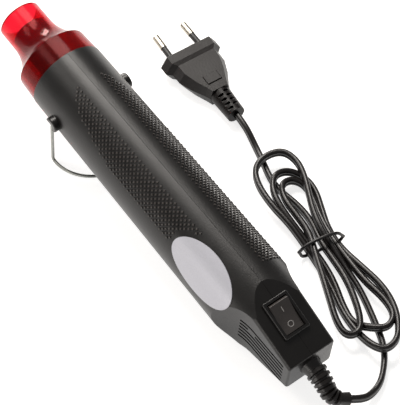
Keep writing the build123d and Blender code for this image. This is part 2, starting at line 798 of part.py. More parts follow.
# Leads: the cord's live core to the switch, from there to the board, and the other core to the board
switch_down = -switch_plane.z_dir
terminal_end = -switch_depth - terminal_length
rear_terminal = switch_plane.from_local_coords(Vector(-terminal_pitch / 2, 0, terminal_end))
front_terminal = switch_plane.from_local_coords(Vector(terminal_pitch / 2, 0, terminal_end))
switch_lead = tube([Vector(cord_end_x, lead_side, boot_height)] + [Vector(*point) for point in lead_points]
                   + [rear_terminal + switch_down * lead_drop, rear_terminal], lead_radius, "switch lead")
load_start = front_terminal + switch_down * lead_drop
load_route = [Vector(load_start.X + (board_x - load_start.X) * share, *place)
              for share, place in zip(load_shares, load_places)]
return_route = [Vector(cord_end_x + (board_x - cord_end_x) * share, *place)
                for share, place in zip(return_shares, return_places)]
load_lead = tube([front_terminal, load_start] + load_route, lead_radius, "load lead")
return_lead = tube([Vector(cord_end_x, -lead_side, boot_height)] + return_route, lead_radius, "return lead")

# The stance: the floor touches the bail's kinks and the barrel's lowest point at the belly
belly_point = Vector(taper_start, 0, -rear_radius)
to_kink = kink_point - belly_point
stand_tilt = math.degrees(math.atan2(-to_kink.Z, to_kink.X) + math.asin(wire_radius / to_kink.length))
print("nose-up tilt", round(stand_tilt, 2), "degrees")

own_pieces = {
    "left_shell": left_shell, "right_shell": right_shell, "shell_screws": shell_screws,
    "nozzle_shroud": nozzle_shroud, "heater_tube": heater_tube, "heater_ring": heater_ring,
    "mica_liner": mica_liner, "former_plate": former_plate, "heater_former": heater_former,
    "heating_element": heating_element, "thermal_cutout": thermal_cutout, "fan_duct": fan_duct,
    "motor_can": motor_can, "motor_end_cap": motor_end_cap, "motor_tabs": motor_tabs,
    "motor_shaft": motor_shaft, "motor_bracket": motor_bracket, "motor_screws": motor_screws,
    "fan": fan, "motor_board": motor_board, "rectifier_diodes": rectifier_diodes,
    "suppression_capacitor": suppression_capacitor, "switch_body": switch_body,
    "switch_terminals": switch_terminals, "rocker": rocker, "rating_label": rating_label, "bail": bail,
    "cord_clamp": cord_clamp, "inner_cord": inner_cord, "switch_lead": switch_lead,
    "load_lead": load_lead, "return_lead": return_lead,
}
tilted = Location((0, 0, 0), (0, -stand_tilt, 0))
own_box = Compound([piece.part.moved(tilted) for piece in own_pieces.values()]).bounding_box()
centre = own_box.center()
stance = Location((-centre.X, -centre.Y, -own_box.min.Z)) * tilted
print("stance", stance, "box", own_box.size)

# From here on everything is placed in the finished part's own frame
lift = math.radians(stand_tilt)
forward = Vector(math.cos(lift), 0, math.sin(lift))


def biarc(start, start_dir, end, end_dir):
    """Two arcs that leave the start and reach the end along the given directions."""
    span = end - start
    both = start_dir + end_dir
    along = span.dot(both)
    spread = 2 * (1 - start_dir.dot(end_dir))
    if spread < tiny:
        handle = span.dot(span) / (2 * along)
    else:
        handle = (math.sqrt(along ** 2 + spread * span.dot(span)) - along) / spread
    joint = (start + end + (start_dir - end_dir) * handle) * 0.5
    middle = (end - end_dir * handle) - (start + start_dir * handle)
    first = TangentArc(start, joint, tangent=start_dir)
    second = TangentArc(joint, end, tangent=middle)
    return [first, second]


# Strain relief boot: flange and neck held in the rear wall, then a tapered ribbed sleeve
boot_place = (stance * Location((0, 0, boot_height))).position
cord_start = Vector(boot_place.X, 0, 0)
boot_tip = cord_start + Vector(*boot_end)
boot_tip_dir = Vector(*boot_end_dir).normalized()
with BuildLine() as boot_path:
    root_line = Line(boot_place, boot_place - forward * cord_diameter)
    tip_line = Line(boot_tip - boot_tip_dir * cord_diameter, boot_tip)
    boot_arcs = biarc(root_line @ 1, -forward, tip_line @ 0, boot_tip_dir)
boot_wire = Wire([root_line] + boot_arcs + [tip_line])
boot_length = boot_wire.length
rib_pitch = (boot_length - cord_diameter * 2) / boot_ribs
boot_rings = [(0, boot_root_radius)]
for rib in range(boot_ribs):
    rib_start = cord_diameter + rib_pitch * rib
    crest = boot_root_radius + (boot_tip_radius - boot_root_radius) * (rib + middle_share) / boot_ribs
    boot_rings.append((rib_start, crest - boot_rib_step))
    boot_rings += [(rib_start + rib_pitch * share, crest) for share in crest_shares]
    boot_rings.append((rib_start + rib_pitch * groove_share, crest - boot_rib_step))
boot_rings.append((boot_length, boot_tip_radius - boot_rib_step / 2))
with BuildPart() as strain_relief:
    for distance, radius in boot_rings:
        spot = boot_wire.position_at(distance, position_mode=PositionMode.LENGTH)
        aim = boot_wire.tangent_at(distance, position_mode=PositionMode.LENGTH)
        with BuildSketch(Plane(origin=spot, x_dir=Vector(0, 0, 1).cross(aim), z_dir=aim)):
            Circle(radius)
    loft(ruled=True)
    with BuildSketch(Plane(origin=boot_place, z_dir=forward)):
        Circle(boot_neck_radius)
    extrude(amount=wall + fit_gap)
    with BuildSketch(Plane(origin=boot_place + forward * (wall + fit_gap / 2), z_dir=forward)):
        Circle(boot_flange_radius)
    extrude(amount=boot_flange_thickness)
print("boot length", round(boot_length, 1), "mm")

# Stretch of cord from the boot down to the floor and on to the hank
cord_radius = cord_diameter / 2
low_floor = cord_radius + floor_gap
low_waist = tie_gauge + clear_gap + low_floor
strand_pitch = cord_diameter + strand_gap
hank_turn = math.radians(hank_heading)
hank_frame = Plane(origin=cord_start + Vector(hank_x, hank_y, 0),
                   x_dir=(math.cos(hank_turn), math.sin(hank_turn), 0), z_dir=(0, 0, 1))


def station(place, height, turn):
    """A point of the hank and the direction that the cord has there, turned from the hank's axis."""
    aim = math.radians(hank_heading + turn)
    spot = hank_frame.from_local_coords(Vector(place[0], place[1], height))
    return spot, Vector(math.cos(aim), math.sin(aim), 0)


hank_entry, entry_dir = station(entry_place, low_floor, entry_turn)
cord_tail = tube([boot_tip] + [cord_start + Vector(*point) for point in tail_points]
                 + [hank_entry - entry_dir * tail_run, hank_entry], cord_radius, "cord tail")

# Hank: three loops in two layers, drawn in at the waist. The first loop is the widest, the second lies
# inside it, and the third lies in the layer below, from which the cord leaves for the plug.
stops = [(hank_entry, entry_dir), station(join_place, low_floor, join_turn)]
rise = low_waist - low_floor
for loop in range(len(top_reach)):
    level = low_floor + strand_pitch * loop_layers[loop]
    waist_level = low_waist + strand_pitch * outward_layers[loop]
    stops.append(station((0, strand_pitch * outward_columns[loop]), waist_level, 0))
    stops.append(station(top_right[loop], level, 0))
    stops.append(station(top_reach[loop], level, 90))
    stops.append(station(top_left[loop], level, 180))
    stops.append(station((0, strand_pitch * return_columns[loop]), level + rise, 180))
    stops.append(station(bottom_left[loop], level, 180))
    stops.append(station(bottom_reach[loop], level, 270))
    stops.append(station(bottom_right[loop], level, 0))
    if outward_layers[loop + 1] < loop_layers[loop] and loop > 0:
        stops.append(station(climb_place, level, climb_turn))
stops.append(station((0, strand_pitch * outward_columns[-1]), low_waist, 0))
stops.append(station(leave_place, low_floor, 0))
stops.append(station(exit_place, low_floor, exit_turn))

with BuildPart() as cord_hank:
    with BuildLine() as hank_path:
        hank_arcs = []
        for (spot, aim), (next_spot, next_aim) in zip(stops, stops[1:]):
            hank_arcs += biarc(spot, aim, next_spot, next_aim)
    with BuildSketch(Plane(origin=hank_entry, z_dir=entry_dir)):
        Circle(cord_radius)
    sweep(path=Wire(hank_arcs))
hank_length = sum(arc.length for arc in hank_arcs)
samples = []
walked = 0.0
for arc in hank_arcs:
    for share in range(8):
        samples.append((walked + arc.length * share / 8, arc @ (share / 8)))
    walked += arc.length
least = min((one - other).length for place, one in samples for other_place, other in samples
            if other_place - place > cord_diameter * 4)
print("hank length", round(hank_length, 1), "mm, least gap to itself", round(least - cord_diameter, 2),
      "mm, least radius", round(min(arc.radius for arc in hank_arcs), 1), "mm, volume share",
      round(cord_hank.part.volume / (math.pi * cord_radius ** 2) / hank_length, 4))

# Stretch from the hank to the plug, which lies flat with its axis at half its height
plug_turn = math.radians(plug_heading)
plug_dir = Vector(math.cos(plug_turn), math.sin(plug_turn), 0)
plug_face = cord_start + Vector(plug_x, plug_y, plug_height / 2 + floor_gap)
plug_rear = plug_face - plug_dir * (plug_length + plug_tail_length)
hank_exit, exit_dir = stops[-1]
cord_plug_end = tube([hank_exit, hank_exit + exit_dir * plug_run, plug_rear - plug_dir * plug_run,
                      plug_rear], cord_radius, "cord to the plug")

# Tie: a flat ribbon round the waist, its two ends twisted out sideways
waist_right = strand_pitch * min(outward_columns) - cord_radius - clear_gap
waist_left = strand_pitch * max(return_columns) + cord_radius + clear_gap
waist_low = low_waist - cord_radius - clear_gap
waist_high = low_waist + strand_pitch + cord_radius + clear_gap
tie_plane = Plane(origin=hank_frame.from_local_coords(Vector(-tie_width / 2, 0, 0)),
                  x_dir=hank_frame.y_dir, z_dir=hank_frame.x_dir)
tie_middle = ((waist_left + waist_right) / 2, (waist_low + waist_high) / 2)
with BuildPart() as twist_tie:
    with BuildSketch(tie_plane):
        with Locations(tie_middle):
            RectangleRounded(waist_left - waist_right + tie_gauge * 2, waist_high - waist_low + tie_gauge * 2,
                             cord_radius + clear_gap + tie_gauge)
            RectangleRounded(waist_left - waist_right, waist_high - waist_low, cord_radius + clear_gap,
                             mode=Mode.SUBTRACT)
    extrude(amount=tie_width)
    for edge_place, outward in ((waist_left, 1), (waist_right, -1)):
        tail_edge = edge_place + tie_gauge / 2 * outward
        tail_root = hank_frame.from_local_coords(Vector(0, tail_edge, tie_middle[1]))
        with BuildSketch(Plane(origin=tail_root, z_dir=hank_frame.y_dir * outward)):
            Circle(tie_tail_radius)
        extrude(amount=tie_tail_length)

# Plug, drawn with its face at the origin and its pins along X: flat six-sided body drawn in towards a
# tail with pockets, two cores that lean towards each other, their sleeves and bare tips
def pin_line(pin_side):
    """Where a pin leaves the plug's face, and the direction in which it leans."""
    lean_in = (pin_tip_pitch - pin_pitch) / 2 * pin_side
    return Vector(0, pin_pitch / 2 * pin_side, 0), Vector(pin_length, lean_in, 0).normalized()


with BuildPart() as plug_body:
    for along, width_part, height_part in zip(plug_length_shares, plug_width_shares, plug_height_shares):
        side_y = plug_width / 2 * width_part
        top_y = side_y * plug_bevel_share
        top_z = plug_height / 2 * height_part
        with BuildSketch(Plane.YZ.offset(-plug_length * along)):
            Polygon((side_y, 0), (top_y, top_z), (-top_y, top_z),
                    (-side_y, 0), (-top_y, -top_z), (top_y, -top_z))
    loft(ruled=True)
    fillet(plug_body.edges().group_by(Axis.X)[-1], radius=plug_edge)
    add(lathe([(-plug_length + plug_edge, 0), (-plug_length + plug_edge, plug_tail_radius),
               (-plug_length, plug_tail_radius), (-plug_length - plug_tail_length, plug_tail_tip),
               (-plug_length - plug_tail_length, 0)]))
    pocket_step = plug_tail_length / (plug_pocket_rows + 1)
    pad_top = plug_height / 2 * min(plug_height_shares) + plug_pad_height
    for up in (1, -1):
        with BuildSketch(Plane.XY.offset((plug_tail_tip - plug_pocket_depth) * up)):
            for row in range(1, plug_pocket_rows + 1):
                pocket_x = -plug_length - pocket_step * row
                with Locations((pocket_x - pocket_step / 4, plug_pocket_offset),
                               (pocket_x + pocket_step / 4, -plug_pocket_offset)):
                    SlotOverall(plug_pocket_length, plug_pocket_width, rotation=90)
        extrude(amount=overrun * up, mode=Mode.SUBTRACT)
    with BuildSketch(Plane.XY):
        with Locations((-plug_pad_place, 0)):
            RectangleRounded(plug_pad_length, plug_pad_width, plug_edge)
    extrude(amount=pad_top, both=True)
    for pin_side in (1, -1):
        pin_root, pin_dir = pin_line(pin_side)
        with BuildSketch(Plane(origin=pin_root - pin_dir * pin_seat, z_dir=pin_dir)):
            Circle(pin_sleeve_radius)
        extrude(amount=pin_seat + pin_radius, mode=Mode.SUBTRACT)

with BuildPart() as plug_pins:
    for pin_side in (1, -1):
        pin_root, pin_dir = pin_line(pin_side)
        with BuildSketch(Plane(origin=pin_root - pin_dir * pin_seat, z_dir=pin_dir)):
            Circle(pin_core_radius)
        extrude(amount=pin_seat + pin_length - pin_tip_length)
        with BuildSketch(Plane(origin=pin_root + pin_dir * (pin_length - pin_tip_length), z_dir=pin_dir)):
            Circle(pin_radius)
        extrude(amount=pin_tip_length)
    fillet(plug_pins.edges().group_by(Axis.X)[-1], radius=pin_radius / 2)

with BuildPart() as pin_sleeves:
    for pin_side in (1, -1):
        pin_root, pin_dir = pin_line(pin_side)
        with BuildSketch(Plane(origin=pin_root - pin_dir * pin_seat, z_dir=pin_dir)):
            Circle(pin_sleeve_radius)
            Circle(pin_core_radius, mode=Mode.SUBTRACT)
        extrude(amount=pin_seat + pin_length - pin_tip_length)

os.makedirs("parts", exist_ok=True)
plug_place = Location((plug_face.X, plug_face.Y, plug_face.Z), (0, 0, plug_heading))
on_floor = {"strain_relief": strain_relief, "cord_tail": cord_tail, "cord_hank": cord_hank,
            "cord_plug_end": cord_plug_end, "twist_tie": twist_tie}
plug_pieces = {"plug_body": plug_body, "plug_pins": plug_pins, "pin_sleeves": pin_sleeves}
for pieces, place in ((own_pieces, stance), (on_floor, Location()), (plug_pieces, plug_place)):
    for name, piece in pieces.items():
        piece.part.label = name
        export_step(piece.part.moved(place), f"parts/{name}.step")
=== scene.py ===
import bmesh
import bpy
import json
import math
from mathutils import Matrix, Vector


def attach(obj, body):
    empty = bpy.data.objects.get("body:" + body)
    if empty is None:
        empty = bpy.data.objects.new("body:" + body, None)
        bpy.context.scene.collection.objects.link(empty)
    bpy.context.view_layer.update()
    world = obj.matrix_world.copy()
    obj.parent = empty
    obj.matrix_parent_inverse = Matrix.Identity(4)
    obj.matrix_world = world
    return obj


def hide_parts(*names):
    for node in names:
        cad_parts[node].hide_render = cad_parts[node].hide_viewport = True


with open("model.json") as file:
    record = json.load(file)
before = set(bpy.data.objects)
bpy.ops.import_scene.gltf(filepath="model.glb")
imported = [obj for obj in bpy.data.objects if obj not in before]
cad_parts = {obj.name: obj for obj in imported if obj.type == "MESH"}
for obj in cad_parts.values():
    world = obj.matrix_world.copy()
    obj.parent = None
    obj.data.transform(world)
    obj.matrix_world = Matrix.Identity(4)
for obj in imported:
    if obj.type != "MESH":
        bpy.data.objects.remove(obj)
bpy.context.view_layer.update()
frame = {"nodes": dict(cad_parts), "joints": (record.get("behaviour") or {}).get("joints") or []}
# The CAD nodes come in selected, and an operator acts on all that is selected
bpy.ops.object.select_all(action="DESELECT")

# Camera: a long lens, high up behind the tool on its left, turned so that the tool lies slantwise across
# the picture with its nozzle at the top left. Its place in metres, the way that it looks and its upright
# direction were fitted to points marked on the photograph.
view_point = Vector((-0.47735, 0.33868, 0.8987))
view_forward = Vector((0.43762, -0.33504, -0.83441))
view_up = Vector((0.66585, -0.50288, 0.55114))
view_right = view_forward.cross(view_up)
lens = bpy.data.cameras.new("long_lens")
lens.sensor_width = 36
lens.sensor_fit = "HORIZONTAL"
lens.lens = 183.7
camera = bpy.data.objects.new("camera", lens)
camera.matrix_world = Matrix.Translation(view_point) @ Matrix(
    (view_right, view_up, -view_forward)).transposed().to_4x4()
bpy.context.collection.objects.link(camera)
bpy.context.scene.camera = camera
bpy.context.scene.view_settings.view_transform = "Standard"


def colour(hex_code):
    """sRGB hex value as the linear colour that shaders work with."""
    channels = [int(hex_code[place:place + 2], 16) / 255 for place in (1, 3, 5)]
    return (*[c / 12.92 if c <= 0.04045 else ((c + 0.055) / 1.055) ** 2.4 for c in channels], 1)


def add_node(nodes, kind, settings=None, links=None):
    """Adds one shader node, sets its values and sockets, and links its sockets to other nodes' outputs."""
    node = nodes.new(kind)
    for name, value in (settings or {}).items():
        if isinstance(name, int) or name in node.inputs:
            node.inputs[name].default_value = value
        else:
            setattr(node, name, value)
    for name, output in (links or {}).items():
        nodes.id_data.links.new(output, node.inputs[name])
    return node


# Floor and light: a white studio sweep. The floor is matt white paper that the camera sees as white
# with a soft shadow on it, and the sky is a plain white tent that is dimmer as a lamp than it looks.
# The paper is 6 m wide and lies 0.2 mm low, so that it doesn't cut into what stands on it.
sweep_size = 6.0
sweep_drop = 0.0002
paper_glow_strength = 0.73
bpy.ops.mesh.primitive_plane_add(size=sweep_size, location=(0, 0, -sweep_drop))
floor = bpy.context.object
floor.name = "paper_floor"
paper = bpy.data.materials.new("matt_white_paper")
paper.use_nodes = True
paper_nodes = paper.node_tree.nodes
paper_nodes.clear()
paper_seen = add_node(paper_nodes, "ShaderNodeLightPath")
paper_direct = add_node(paper_nodes, "ShaderNodeMath", {"operation": "MAXIMUM"},
                        {0: paper_seen.outputs["Is Camera Ray"], 1: paper_seen.outputs["Is Glossy Ray"]})
paper_any = add_node(paper_nodes, "ShaderNodeMath", {"operation": "MAXIMUM"},
                     {0: paper_direct.outputs[0], 1: paper_seen.outputs["Is Transmission Ray"]})
paper_lift = add_node(paper_nodes, "ShaderNodeMath", {"operation": "MULTIPLY", 1: paper_glow_strength},
                      {0: paper_any.outputs[0]})
paper_face = add_node(paper_nodes, "ShaderNodeBsdfDiffuse", {"Color": colour("#dedcda")})
paper_glow = add_node(paper_nodes, "ShaderNodeEmission", {}, {"Strength": paper_lift.outputs[0]})
paper_both = add_node(paper_nodes, "ShaderNodeAddShader", {},
                      {0: paper_face.outputs[0], 1: paper_glow.outputs[0]})
add_node(paper_nodes, "ShaderNodeOutputMaterial", {}, {"Surface": paper_both.outputs[0]})
floor.data.materials.append(paper)

tent = bpy.data.worlds.new("white_tent")
bpy.context.scene.world = tent
tent.use_nodes = True
tent_nodes = tent.node_tree.nodes
tent_nodes.clear()
tent_light = 0.23
tent_white = 1.0
tent_seen = add_node(tent_nodes, "ShaderNodeLightPath")
tent_direct = add_node(tent_nodes, "ShaderNodeMath", {"operation": "MAXIMUM"},
                       {0: tent_seen.outputs["Is Camera Ray"], 1: tent_seen.outputs["Is Transmission Ray"]})
tent_strength = add_node(tent_nodes, "ShaderNodeMapRange", {"To Min": tent_light, "To Max": tent_white},
                         {"Value": tent_direct.outputs[0]})
tent_sky = add_node(tent_nodes, "ShaderNodeBackground", {"Color": colour("#ffffff")},
                    {"Strength": tent_strength.outputs["Result"]})
add_node(tent_nodes, "ShaderNodeOutputWorld", {}, {"Surface": tent_sky.outputs[0]})

# Soft boxes: four lamps behind white cloth, all turned towards the middle of the barrel. A row gives
# the place, width and height in metres, and the power in watts.
barrel_middle = Vector((0, 0, 0.03))
box_colour = colour("#fffaf4")[:3]
soft_boxes = {
    "top_box": ((0.60, -0.25, 0.96), 0.56, 0.46, 11.5),
    "front_box": ((0.74, 0.44, 0.84), 0.36, 0.5, 3.2),
    "side_box": ((-0.1, 0.95, 0.30), 0.9, 0.35, 3.2),
    "nozzle_box": ((0.95, -0.35, 0.27), 0.3, 0.22, 4.0),
}
for box_name, (box_place, box_width, box_height, box_power) in soft_boxes.items():
    lamp = bpy.data.lights.new(box_name, "AREA")
    lamp.shape = "RECTANGLE"
    lamp.size = box_width
    lamp.size_y = box_height
    lamp.energy = box_power
    lamp.color = box_colour
    lamp_object = bpy.data.objects.new(box_name, lamp)
    lamp_object.location = box_place
    towards_barrel = barrel_middle - Vector(box_place)
    lamp_object.rotation_euler = towards_barrel.to_track_quat("-Z", "Y").to_euler()
    bpy.context.collection.objects.link(lamp_object)

# Cord: a flat twin mains cord in black PVC, 5.2 mm by 3.2 mm, which lies on its narrow edge. It comes out
# of the boot, drops to the table, runs three times round the tied hank and ends in the plug.
# Its points are given in mm from the spot on the table below the boot's root.
mm = 0.001
cord_start = Vector((-0.12466, 0, 0))
boot_end = (-22.14, -7.0, 8.7)
tail_points = [(-25.54, -13.4, 6.0), (-25.24, -20.3, 3.8), (-22.54, -27.9, 2.9), (-16.6, -35.0, 2.7)]
hank_place = (57.04, -54.0)
hank_heading = math.radians(-9.2)
# Points of the hank, in order from the boot to the plug, in mm from its waist: along it towards the
# nozzle, across it to the left, and up
hank_points = [
    (-69.4, 2.9, 2.7), (-62, 0, 2.7), (-54, -1.6, 2.7), (-44, -3.4, 2.7), (-32, -5.0, 2.9),
    (-18, -4.8, 3.6), (-6, -4.4, 5.6), (6, -4.0, 7.6), (18, -5.6, 8.1), (29, -9.2, 8.1), (40, -12.8, 8.0),
    (50, -14.2, 8.0), (59.5, -10.8, 8.0), (61.2, -1, 8.0), (57, 8, 8.0), (47, 11.8, 8.0), (32, 11.6, 8.0),
    (18, 8.8, 7.4), (6, 7.6, 5.6), (-8, 6.6, 3.2), (-22, 7.0, 2.9), (-38, 9.6, 2.8), (-52, 9.4, 3.6),
    (-64, 8.2, 7.6), (-70.4, 3.6, 8.2), (-68.5, -4.6, 8.2), (-60, -10.6, 8.0), (-49, -14.2, 7.8),
    (-36, -14.6, 7.4), (-20, -11.4, 5.6), (-6, -8.6, 4.0), (8, -9.0, 3.0), (20, -12.2, 2.8),
    (32, -15.4, 2.8), (42, -14.4, 2.9), (49, -8.2, 4.6), (48.4, 0.8, 7.6), (41, 6.4, 8.0), (30, 8.0, 7.8),
    (18, 7.0, 6.4), (6, 5.4, 4.4), (-8, 3.6, 2.9), (-22, 4.4, 2.8), (-36, 7.6, 2.8), (-48, 8.6, 3.8),
    (-56, 2.6, 7.6), (-60, -4.4, 8.2), (-55, -11.2, 8.2), (-44, -11.6, 7.8), (-30, -8.6, 6.4),
    (-14, -7.8, 5.4), (2, -7.4, 4.2), (16, -9.0, 2.9), (30, -12.0, 2.8), (39.5, -11.6, 2.9),
    (43.6, -6.0, 4.6), (41, 1.0, 7.4), (32, 4.0, 8.2), (20, 3.2, 8.2), (8, 2.6, 8.2), (-4, 6.0, 8.4),
    (-18, 9.6, 8.3), (-32, 13.4, 8.2), (-45, 17.0, 8.1), (-54.4, 16.6, 8.1), (-55.6, 9.4, 8.1),
    (-48, 4.8, 8.2), (-36, 1.6, 8.2), (-24, -0.4, 8.0), (-10, -1.0, 6.0), (4, -1.4, 3.4),
    (16, -3.8, 2.7), (28, -2.6, 2.7), (40, 1.4, 2.7), (50, 2.2, 2.7), (62, 0.2, 2.7),
]
plug_points = [(127.3, -66.2, 2.9), (139.5, -68.65, 6.95), (148.5, -69.36, 6.95)]


def in_hank(along, across, height):
    """A point of the hank, measured from its waist, in the shared frame."""
    x = hank_place[0] + along * math.cos(hank_heading) - across * math.sin(hank_heading)
    y = hank_place[1] + along * math.sin(hank_heading) + across * math.cos(hank_heading)
    return cord_start + Vector((x, y, height)) * mm


route_points = [cord_start + Vector(point) * mm for point in [boot_end] + tail_points]
route_points += [in_hank(*point) for point in hank_points]
route_points += [cord_start + Vector(point) * mm for point in plug_points]
shortest_step = 0.05 * mm


def smooth_line(name, points, steps):
    """Points along a smooth spline that has these control points, with none of them doubled."""
    curve = bpy.data.curves.new(name, "CURVE")
    curve.dimensions = "3D"
    spline = curve.splines.new("NURBS")
    spline.points.add(len(points) - 1)
    for control, point in zip(spline.points, points):
        control.co = (*point, 1)
    spline.order_u = 3
    spline.use_endpoint_u = True
    spline.resolution_u = steps
    guide = bpy.data.objects.new(name, curve)
    line = bpy.data.meshes.new_from_object(guide)
    places = []
    for vertex in line.vertices:
        if not places or (vertex.co - places[-1]).length > shortest_step:
            places.append(vertex.co.copy())
    bpy.data.objects.remove(guide)
    bpy.data.meshes.remove(line)
    return places


def swept(name, line, section, upright=Vector((0, 0, 1))):
    """Closed tube with a section of (across, up) points along a line of points."""
    work = bmesh.new()
    rings = []
    for place, spot in enumerate(line):
        before = line[max(place - 1, 0)]
        after = line[min(place + 1, len(line) - 1)]
        ahead = (after - before).normalized()
        across = ahead.cross(upright).normalized()
        above = across.cross(ahead)
        rings.append([work.verts.new(spot + across * side + above * up) for side, up in section])
    for ring, next_ring in zip(rings, rings[1:]):
        for corner in range(len(section)):
            following = (corner + 1) % len(section)
            work.faces.new((ring[corner], next_ring[corner], next_ring[following], ring[following]))
    work.faces.new(rings[0])
    work.faces.new(reversed(rings[-1]))
    bmesh.ops.recalc_face_normals(work, faces=work.faces)
    mesh = bpy.data.meshes.new(name)
    work.to_mesh(mesh)
    work.free()
    piece = bpy.data.objects.new(name, mesh)
    bpy.context.collection.objects.link(piece)
    for face in mesh.polygons:
        face.use_smooth = len(face.vertices) == 4
    return piece


# The section: two round cores side by side, with a shallow groove between them on each broad side
core_radius = 1.6 * mm
core_spacing = 1.0 * mm
core_steps = 10
groove_angle = math.asin(core_spacing / core_radius)
cord_section = []
for half in (1, -1):
    for step in range(core_steps + 1):
        angle = -groove_angle + (math.pi + groove_angle * 2) * step / core_steps
        cord_section.append((math.cos(angle) * core_radius * half,
                             (math.sin(angle) * core_radius + core_spacing) * half))
cord_steps = 10
cord_line = smooth_line("cord_route", route_points, cord_steps)
cord = swept("mains_cord", cord_line, cord_section)


def bare_material(name):
    """A new material, its nodes and its surface shader."""
    material = bpy.data.materials.new(name)
    material.use_nodes = True
    nodes = material.node_tree.nodes
    return material, nodes, nodes["Principled BSDF"]


# A moulded plastic shows patches some 9 mm wide that differ a little in shade and gloss. Its real grain
# of about 0.1 mm is too fine to show here, so each grain_mm is drawn coarser.
patch_size = 9 * mm
patch_gloss = 0.05
grain_depth_share = 0.25


def moulded(name, dark, light, roughness, grain_mm, relief, specular=0.5):
    """Moulded plastic or rubber: two close shades in soft patches, and a fine grain in the surface."""
    material, nodes, surface = bare_material(name)
    surface.inputs["Specular IOR Level"].default_value = specular
    places = add_node(nodes, "ShaderNodeTexCoord")
    patches = add_node(nodes, "ShaderNodeTexNoise", {"Scale": 1 / patch_size, "Detail": 3.0},
                       {"Vector": places.outputs["Object"]})
    shades = add_node(nodes, "ShaderNodeMix", {"data_type": "RGBA", 6: colour(dark), 7: colour(light)},
                      {0: patches.outputs["Fac"]})
    gloss = add_node(nodes, "ShaderNodeMapRange",
                     {"To Min": roughness - patch_gloss, "To Max": roughness + patch_gloss},
                     {"Value": patches.outputs["Fac"]})
    grain = add_node(nodes, "ShaderNodeTexNoise", {"Scale": 1 / (grain_mm * mm), "Detail": 2.0},
                     {"Vector": places.outputs["Object"]})
    bump = add_node(nodes, "ShaderNodeBump",
                    {"Strength": relief, "Distance": grain_mm * mm * grain_depth_share},
                    {"Height": grain.outputs["Fac"]})
    nodes.id_data.links.new(shades.outputs[2], surface.inputs["Base Color"])
    nodes.id_data.links.new(gloss.outputs["Result"], surface.inputs["Roughness"])
    nodes.id_data.links.new(bump.outputs["Normal"], surface.inputs["Normal"])
    return material


def coat(node, material):
    """Gives a piece that comes from the CAD model its finish."""
    for slot in frame["nodes"][node].material_slots:
        slot.material = material


# PVC sheath: soft black PVC drawn over the cores through a die, so it is smooth, and shows a satin sheen
# that follows the cord and breaks at its groove
pvc_black = moulded("black_pvc_sheath", "#120f0e", "#1b1716", roughness=0.32, grain_mm=0.9, relief=0.15)
cord.data.materials.append(pvc_black)
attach(cord, "housing")
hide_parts("cord_tail", "cord_hank", "cord_plug_end")

# Tie: a plastic-covered wire of 1.8 mm laid over and under the hank's waist, with ends that stand out
# on each side. The cover is drawn plastic, and gives a narrow satin line of light.
tie_points = [(1.0, 12.8, 6.0), (0.7, 11.8, 7.8), (0.4, 10.2, 10.6), (0.2, 5.0, 12.2), (0.0, -4.0, 12.4),
              (-0.4, -9.6, 11.0), (-0.8, -11.8, 7.6), (-1.0, -13.0, 5.8)]
under_points = [(1.0, 12.4, 6.6), (0.6, 11.8, 4.0), (0.2, 10.4, 1.3), (0, 4.0, 1.0), (0, -4.0, 1.0),
                (-0.4, -10.2, 1.3), (-0.8, -12.0, 4.0), (-1.0, -12.6, 6.2)]
tie_radius = 0.9 * mm
tie_sides = 10
tie_steps = 8
tie_section = [(math.cos(math.tau * side / tie_sides) * tie_radius,
                math.sin(math.tau * side / tie_sides) * tie_radius) for side in range(tie_sides)]
tie_upright = in_hank(1, 0, 0) - in_hank(0, 0, 0)
tie_plastic = moulded("black_tie_plastic", "#141212", "#1d1a1a", roughness=0.4, grain_mm=0.6, relief=0.2)
for tie_name, points in (("tie_over", tie_points), ("tie_under", under_points)):
    tie_line = smooth_line(tie_name, [in_hank(*point) for point in points], tie_steps)
    tie = swept(tie_name, tie_line, tie_section, upright=tie_upright)
    tie.data.materials.append(tie_plastic)
    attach(tie, "housing")
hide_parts("twist_tie")

# Boot and plug: soft black PVC moulded on to the cord. The boot is as satin as the sheath. The plug is a
# little duller, because its mould is blasted, and carries a low pad on each broad side near its tail.
coat("strain_relief", pvc_black)
coat("inner_cord", pvc_black)
plug_pvc = moulded("moulded_plug_pvc", "#110d0c", "#181413",
                   roughness=0.4, grain_mm=1.2, relief=0.2, specular=0.22)
coat("plug_body", plug_pvc)
plug_face_place = (197.36, -73.2, 6.95)
plug_face = cord_start + Vector(plug_face_place) * mm
plug_heading = math.radians(-4.5)
pad_setback = 25.0
pad_top = 6.85
pad_length = 6.2
pad_width = 8.8
pad_thickness = 0.8
pad_edge = 0.35
pad_middle = pad_top - pad_thickness / 2
for pad_side in (1, -1):
    pad_place = (-pad_setback * mm, 0, pad_middle * mm * pad_side)
    bpy.ops.mesh.primitive_cube_add(size=1 * mm, location=pad_place)
    pad = bpy.context.object
    pad.name = "plug_pad_top" if pad_side > 0 else "plug_pad_below"
    bpy.ops.object.mode_set(mode="EDIT")
    bpy.ops.transform.resize(value=(pad_length, pad_width, pad_thickness))
    bpy.ops.mesh.bevel(offset=pad_edge * mm, segments=3)
    bpy.ops.object.mode_set(mode="OBJECT")
    bpy.ops.object.transform_apply(location=True, rotation=True, scale=True)
    pad.data.transform(Matrix.Translation(plug_face) @ Matrix.Rotation(plug_heading, 4, "Z"))
    pad.data.materials.append(plug_pvc)
    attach(pad, "housing")

# Pins: turned brass with a nickel plate, which gives bright, slightly warm tips. A black nylon sleeve,
# moulded on and duller than the plug, covers the half next to the plug.
coat("pin_sleeves", moulded("pin_sleeve_nylon", "#151313", "#1c1a1a",
                            roughness=0.45, grain_mm=0.5, relief=0.1))
# A metal's shade and gloss change in streaks, each streak_mm drawn coarser than the real plating's
streak_gloss = 0.06


